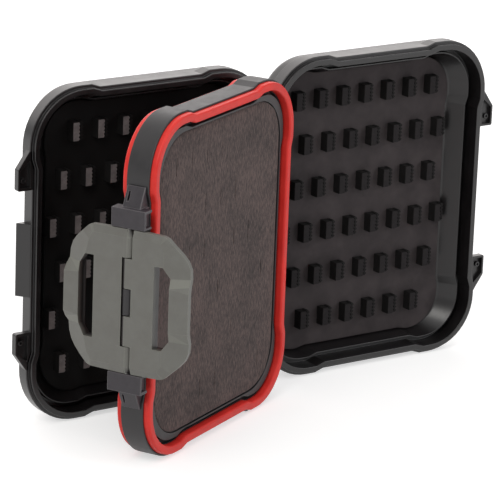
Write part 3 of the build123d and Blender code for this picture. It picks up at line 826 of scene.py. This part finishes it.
def makePage():
    # The page's skin, its hinge knuckles with their straps, and the latch's lug with its neck and pad
    page = pageSkin()
    h, g, edge = hingeLook, lugLook, leaf["halfWide"]
    hollow, solid = [], []
    axis, bore = edge + leaf["hingeBack"], h["pin"] + h["pageFit"]
    root, far, wide = edge - earLook["overlap"], axis - h["pageStrap"], h["radius"]
    for order in (0, 2, 4):
        for low in knuckleLevels(order):
            hollow.append(tube((axis, 0), h["radius"], bore, low, low + h["length"]))
            strap = [(root, -wide), (far, -wide), (far, wide), (root, wide)]
            solid.append(prism(strap, low, low + h["length"]))
    hollow.append(tube((-edge - g["pinOut"], 0), g["radius"], bore, -g["half"], g["half"]))
    root, far, wide = -edge + g["into"], -edge - g["reach"], g["neck"]
    solid.append(prism([(root, -wide), (root, wide), (far, wide), (far, -wide)], -g["half"], g["half"]))
    lugPad = makePiece("page_lug", *prism(g["pad"], -g["half"], g["half"]), places["latch"], "page")
    roundEdges(lugPad, g["round"])
    lugPad.data.materials.append(paint["mount"])
    tubes = makePiece("page_knuckles", *joined(hollow), places["page"], "page")
    weighted(tubes)
    straps = makePiece("page_straps", *joined(solid), places["page"], "page")
    roundEdges(straps, h["strapRound"])
    for piece in (page, tubes, straps):
        piece.data.materials.append(paint["frame"])


def makeGasket(side, face):
    # A closed band between two insets of the outline, from the groove's bed to its rounded crown
    d = pageLook
    outset = d["grooveInset"] + d["gasketClear"]
    outer, inner = (outlineRing(inset, d["gasketSoft"]) for inset in (outset, outset + d["gasketWide"]))
    base = face * (d["half"] - d["grooveDepth"] + d["gasketClear"])
    top = face * (d["half"] + d["gasketProud"])
    layers = [(outer, base, 0.3), (outer, top, 1.2), (inner, top, 1.2), (inner, base, 0.3)]
    piece = skinPiece(side + "_gasket_ring", layers, places["page"], "page", steps=8, closed=True)
    piece.data.materials.append(paint["gasket"])
    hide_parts(side + "_gasket")


# Foam pads: the rim rolls over, and every slit is a valley with lips a little proud. Offsets crowd the grid's
# lines round each slit, across it and along it
padLook = {
    "grid": (7, 6), "pitch": (13.0, 21.2), "long": 8.0, "deep": 1.2, "valley": 0.1, "lip": 0.3,
    "lipTall": 0.08, "ease": 0.5, "past": 0.3, "roll": (0.7, 1.2), "swell": 0.06, "swellWide": (9.0, 11.0),
    "step": 2.4,
    "across": (-1.4, -0.5, -0.2, 0, 0.2, 0.5, 1.4), "along": (-5, -4.2, -3.6, -2, 0, 2, 3.6, 4.2, 5),
    "edge": (0, 0.12, 0.35, 0.7, 1.2),
}


def gridLines(half, marks, offsets):
    # Grid lines that crowd round every mark and the rim, and run evenly between
    step = padLook["step"]
    near = (np.asarray(marks)[:, None] + np.asarray(offsets)[None]).ravel()
    plain = np.arange(-half, half + step / 2, step)
    gap = np.abs(plain[:, None] - near[None]).min(axis=1)
    edge = half - np.array(padLook["edge"])
    lines = np.concatenate([near, plain[gap > step * 0.45], edge, -edge])
    return np.unique(np.round(lines[np.abs(lines) <= half], 4))


def makeFoam(side, face):
    # A grid over the pad, with a skirt down to a flat back. In each corner square, a and b of the way out
    # become a root(1 - b b / 2) and b root(1 - a a / 2), which bends the square's rim to a quarter circle
    d, p = pageLook, padLook
    halfX = leaf["halfWide"] - d["foamSide"] - d["foamClear"]
    halfY = leaf["halfTall"] - d["foamEnd"] - d["foamClear"]
    radius = d["foamRadius"] - d["foamClear"]
    columns, rows = p["grid"]
    slitX = (np.arange(columns) - (columns - 1) / 2) * p["pitch"][0]
    slitY = (np.arange(rows) - (rows - 1) / 2) * p["pitch"][1]
    x, y = np.meshgrid(
        gridLines(halfX, slitX, p["across"]), gridLines(halfY, slitY, p["along"]), indexing="ij")
    rim = np.minimum(halfX - np.abs(x), halfY - np.abs(y))
    height = -p["roll"][0] * np.clip(1 - rim / p["roll"][1], 0, 1) ** 2
    spread = np.random.default_rng(11).uniform(0.0, 1.0, (columns, rows)) ** 3
    for i in range(columns):
        for j in range(rows):
            ends = np.clip((p["long"] / 2 + p["past"] - np.abs(y - slitY[j])) / p["ease"], 0, 1)
            away = np.abs(x - slitX[i])
            lips = (away > p["valley"]) & (away < p["lip"])
            height -= ends * spread[i, j] * (p["deep"] * (away < p["valley"]) + p["lipTall"] * lips)
    height += p["swell"] * np.sin(x / p["swellWide"][0]) * np.sin(y / p["swellWide"][1])
    a = np.clip((np.abs(x) - (halfX - radius)) / radius, 0, 1)
    b = np.clip((np.abs(y) - (halfY - radius)) / radius, 0, 1)
    corner = (a > 0) & (b > 0)
    bentX = np.where(corner, halfX - radius + radius * a * np.sqrt(1 - b * b / 2), np.abs(x)) * np.sign(x)
    bentY = np.where(corner, halfY - radius + radius * b * np.sqrt(1 - a * a / 2), np.abs(y)) * np.sign(y)
    back = d["half"] - d["foamPocket"] + d["foamBehind"]
    top = np.stack([bentX, bentY, back + d["foamThick"] + height], axis=-1)
    nx, ny = x.shape
    index = np.arange(nx * ny).reshape(nx, ny)
    loop = np.concatenate([index[:, 0], index[-1, 1:], index[-2::-1, -1], index[0, -2:0:-1]])
    border = top.reshape(-1, 3)[loop].copy()
    border[:, 2] = back
    points = np.concatenate([top.reshape(-1, 3), border])
    ring = nx * ny + np.arange(len(loop))
    skirt = np.stack([loop, ring, np.roll(ring, -1), np.roll(loop, -1)], axis=1).tolist()
    faces = gridFaces(nx, ny, wrapColumns=False) + skirt + [ring.tolist()]
    points[:, 2] *= face
    piece = makePiece(side + "_foam_pad", points, faces, places["page"], "page", sharp=60)
    piece.data.materials.append(paint["foam"])
    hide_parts(side + "_foam")


makePage()
for side, face in (("left", -1), ("right", 1)):
    makeGasket(side, face)
    makeFoam(side, face)
print("page, gaskets and foam ready")

# Latch
wingLook = {
    "half": 31.7, "flat": 28.4, "front": 9.8, "endFront": 8.5, "back": 6.4, "over": 8.35, "comb": 4.0,
    "neck": (1.35, 1.55), "bore": 1.25, "soft": 0.25, "tip": (1.7, 0.2), "below": 0.04, "paintedShadeBelow": 0.4,
    "round": 0.55, "mountRound": 0.3,
    "slotIn": 14.7, "slotOut": 22.2, "slotHalf": 18.2, "slotCorner": 13.7, "slotCut": 3.2, "slotBottom": 4.6,
    "slotWall": (0.12, 1.6, 6.7), "lipTall": 9.6, "hook": (-0.9, 0.6, 4.7, 5.3), "hookShort": 1.5,
    # The slots sit a little to the left of the pin in the photo
    "slotShift": {"left": 0.9, "right": -0.9},
    # Levels of the comb and where each strip between them starts: the left wing has the outer knuckles,
    # and its middle strip leans back under
    "left": {"levels": (19.6, -19.6), "starts": (-0.5, -0.5, 1.75, -0.5, -0.5), "knuckles": ((19.6, 31.7),),
             "radius": 3.05, "under": 2.0},
    "right": {"levels": (19.3, 6.1, -6.1, -19.3), "starts": (3.1, 3.1, -0.35, 2.85, -0.35, 3.1, 3.1),
              "knuckles": ((6.1, 19.3),), "radius": 2.75, "under": 0.0},
}


def wingSheet(side):
    # Front and back sheets over one net of polygons, with walls wherever an edge belongs to one polygon only.
    # Each point of the upper half: its x, its level, and how far out the front and the back lie
    d = wingLook
    slotIn, slotOut = d["slotIn"] + d["slotShift"][side], d["slotOut"] + d["slotShift"][side]
    front, back, comb, over = d["front"], d["back"], d["comb"], d["over"]
    half = {
        "top": (comb, d["half"], d["endFront"], back), "flat": (comb, d["flat"], front, back),
        "topOut": (17.2, 31.4, 8.4, 6.2), "plate1": (slotIn, 28.3, front, back),
        "plate2": (16.4, 28.0, front, back), "plate3": (18.2, 25.0, front, back),
        "out1": (19.2, 30.6, 8.3, 6.0), "out2": (22.4, 27.6, 8.0, 5.6), "out3": (25.6, 24.6, 7.2, 5.0),
        "out4": (28.0, 21.6, 6.4, 4.4), "out5": (29.3, 18.2, 6.0, 4.0), "out6": (29.6, 14.2, 6.1, 4.0),
        "lip1": (30.2, 11.4, 8.2, 6.0), "lip2": (30.5, 8.8, 9.4, 7.0),
        "slot0": (slotIn, d["slotHalf"], front, back),
        "slot1": (slotOut - d["slotCut"], d["slotHalf"], front, back),
        "slot2": (slotOut, d["slotCorner"], 8.7, 5.8), "slot3": (slotOut, d["lipTall"], 9.7, back),
    }
    points = {}
    for name, (x, z, high, low) in half.items():
        points[name + "+"] = (x, z, high, low)
        points[name + "-"] = (x, -z, high, low)
    pieces = [["slot3+", "lip2+", "lip2-", "slot3-"]]
    for end in "+-":
        pieces += [[name + end for name in row] for row in (
            ("top", "topOut", "plate2", "plate1", "flat"), ("topOut", "out1", "out2", "plate3", "plate2"),
            ("plate1", "plate2", "plate3", "slot1", "slot0"),
            ("plate3", "out2", "out3", "out4", "out5", "out6", "slot2", "slot1"),
            ("slot2", "out6", "lip1", "lip2", "slot3"))]
    levels = [d["half"], d["flat"], *d[side]["levels"], -d["flat"], -d["half"]]
    for number, level in enumerate(levels[2:-2]):
        points["level%d" % number] = (comb, level, front, back)
    inner = ["level%d" % number for number in range(len(levels) - 4)]
    pieces.append(["flat+", "plate1+", "slot0+", "slot0-", "plate1-", "flat-"] + inner[::-1])
    line = ["top+", "flat+"] + inner + ["flat-", "top-"]
    # A strip that starts over the pin steps back behind it at the neck
    near, far = d["neck"]
    for number, start in enumerate(d[side]["starts"]):
        columns = [(start, over), (near, over), (far, back)] if start < near else [(start, back)]
        rows = []
        for edge in (number, number + 1):
            high = d["endFront"] if abs(levels[edge]) > d["flat"] else front
            row = []
            for x, low in columns:
                key = "comb %.2f %.2f" % (x, levels[edge])
                points[key] = (x, levels[edge], high, low)
                row.append(key)
            rows.append(row + [line[edge]])
        for k in range(len(columns)):
            pieces.append([rows[0][k], rows[0][k + 1], rows[1][k + 1], rows[1][k]])
    index = {name: k for k, name in enumerate(points)}
    table = np.array(list(points.values()))
    count = len(table)
    # The middle strip's edge, which faces the other wing, leans back under, so both can lift together
    facing = np.abs(table[:, 0] - max(d[side]["starts"])) < 0.01
    backX = table[:, 0] + d[side]["under"] * facing
    loops = [[index[name] for name in loop] for loop in pieces]
    edges = [(a, b) for loop in loops for a, b in zip(loop, loop[1:] + loop[:1])]
    used = [tuple(sorted(edge)) for edge in edges]
    walls = [[a, b, b + count, a + count] for a, b in edges if used.count(tuple(sorted((a, b)))) == 1]
    faces = loops + [[k + count for k in loop[::-1]] for loop in loops] + walls
    # The back copies of the slot's and comb's points are deep, so those walls darken towards the back with
    # painted shade
    inward = np.array([name.startswith(("slot", "comb")) for name in points])
    deep = np.concatenate([np.zeros(count), np.where(inward, 1.0, 0.0)])
    rear = np.stack([backX, table[:, 1], table[:, 3]], axis=1)
    return np.concatenate([table[:, :3], rear]), faces, deep


def slotRing(side, grow):
    # The slot's outline moved outwards, and the ends of its cut corners along their sides by half as much
    d = wingLook
    low, high = d["slotIn"] + d["slotShift"][side] - grow, d["slotOut"] + d["slotShift"][side] + grow
    top, slant = d["slotHalf"] + grow, 0.5 * grow
    quarter = np.array([(low, top), (high - d["slotCut"] - slant, top), (high, d["slotCorner"] + slant)])
    return roundedPath(np.concatenate([quarter, quarter[::-1] * (1, -1)]), 0.5, 4)


def makeWing(side):
    # The sheet, a wall round the slot behind it, the hook that goes behind the catch, and the knuckles.
    # Deep is 1 on every point that the photo shows dark, and the wing's colour there is painted shade
    d = wingLook
    sheet, sheetFaces, deep = wingSheet(side)
    parts, deep = [(sheet, sheetFaces)], [deep]
    # The slot's wall stands between two growths of the slot's outline
    inside, outside, front = d["slotWall"]
    near, far = slotRing(side, inside), slotRing(side, outside)
    parts.append(wrapped(sweptSkin([(near, front, 0), (near, d["slotBottom"], 0.2),
                                     (far, d["slotBottom"], 0.4), (far, front, 0)], 3, closed=True)))
    edge = d["slotOut"] + d["slotShift"][side]
    left, right, low, high = d["hook"]
    hook = [(edge + left, high), (edge + right, high), (edge + right, low), (edge + left, low)]
    parts.append(prism(hook, -d["slotHalf"] + d["hookShort"], d["slotHalf"] - d["hookShort"]))
    # The slot's wall and the hook are wholly in painted shade
    deep += [np.ones(len(points)) for points, _ in parts[1:]]
    radius, bore, soft = d[side]["radius"], d["bore"], d["soft"]
    for low, high in d[side]["knuckles"]:
        # A knuckle at the wing's end tapers to a blunt tip
        tip = [(radius, high - soft), (radius - soft, high), (bore, high)]
        if high > d["flat"]:
            tip = [(radius, d["flat"]), (d["tip"][0], high - d["tip"][1]), (bore, high)]
        rim = [(bore, low), (radius - soft, low), (radius, low + soft)] + tip
        for up in (1, -1):
            barrel, loops = turned((0, lugLook["pinOut"]), [(r, z * up) for r, z in rim])
            parts.append((np.minimum(barrel, (np.inf, np.inf, d["front"] - d["below"])), loops))
            # Painted shade on the left wing's knuckles grows as they fall back from the front; the right
            # wing's knuckles are wholly in it
            sunk = d["front"] - d["paintedShadeBelow"] - radius / 10 - barrel[:, 2]
            deep.append(np.clip(sunk, 0, 1) if side == "left" else np.ones(len(barrel)))
    points, faces = joined(parts)
    sense = 1 if side == "left" else -1
    points = points * (sense, 1, 1)
    wing = makePiece(side + "_wing", points, faces, places["latch"], side + "_wing", sharp=10)
    shade = wing.data.attributes.new("deep", "FLOAT", "POINT")
    shade.data.foreach_set("value", np.concatenate(deep))
    roundEdges(wing, d["round"], 3, angle=10)
    wing.data.materials.append(paint["wing"])
    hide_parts(side + "_latch_wing")


for side in ("left", "right"):
    makeWing(side)
for level in ("upper", "lower"):
    mount = softCopy(level + "_latch_mount", level + "_mount", "page", wingLook["mountRound"])
    mount.data.materials.append(paint["mount"])
for nodeName in ("upper_hinge_pin", "lower_hinge_pin", "latch_pin"):
    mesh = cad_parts[nodeName].data
    mesh.materials.clear()
    mesh.materials.append(paint["pin"])
print("latch and pins ready")

bpy.context.view_layer.update()
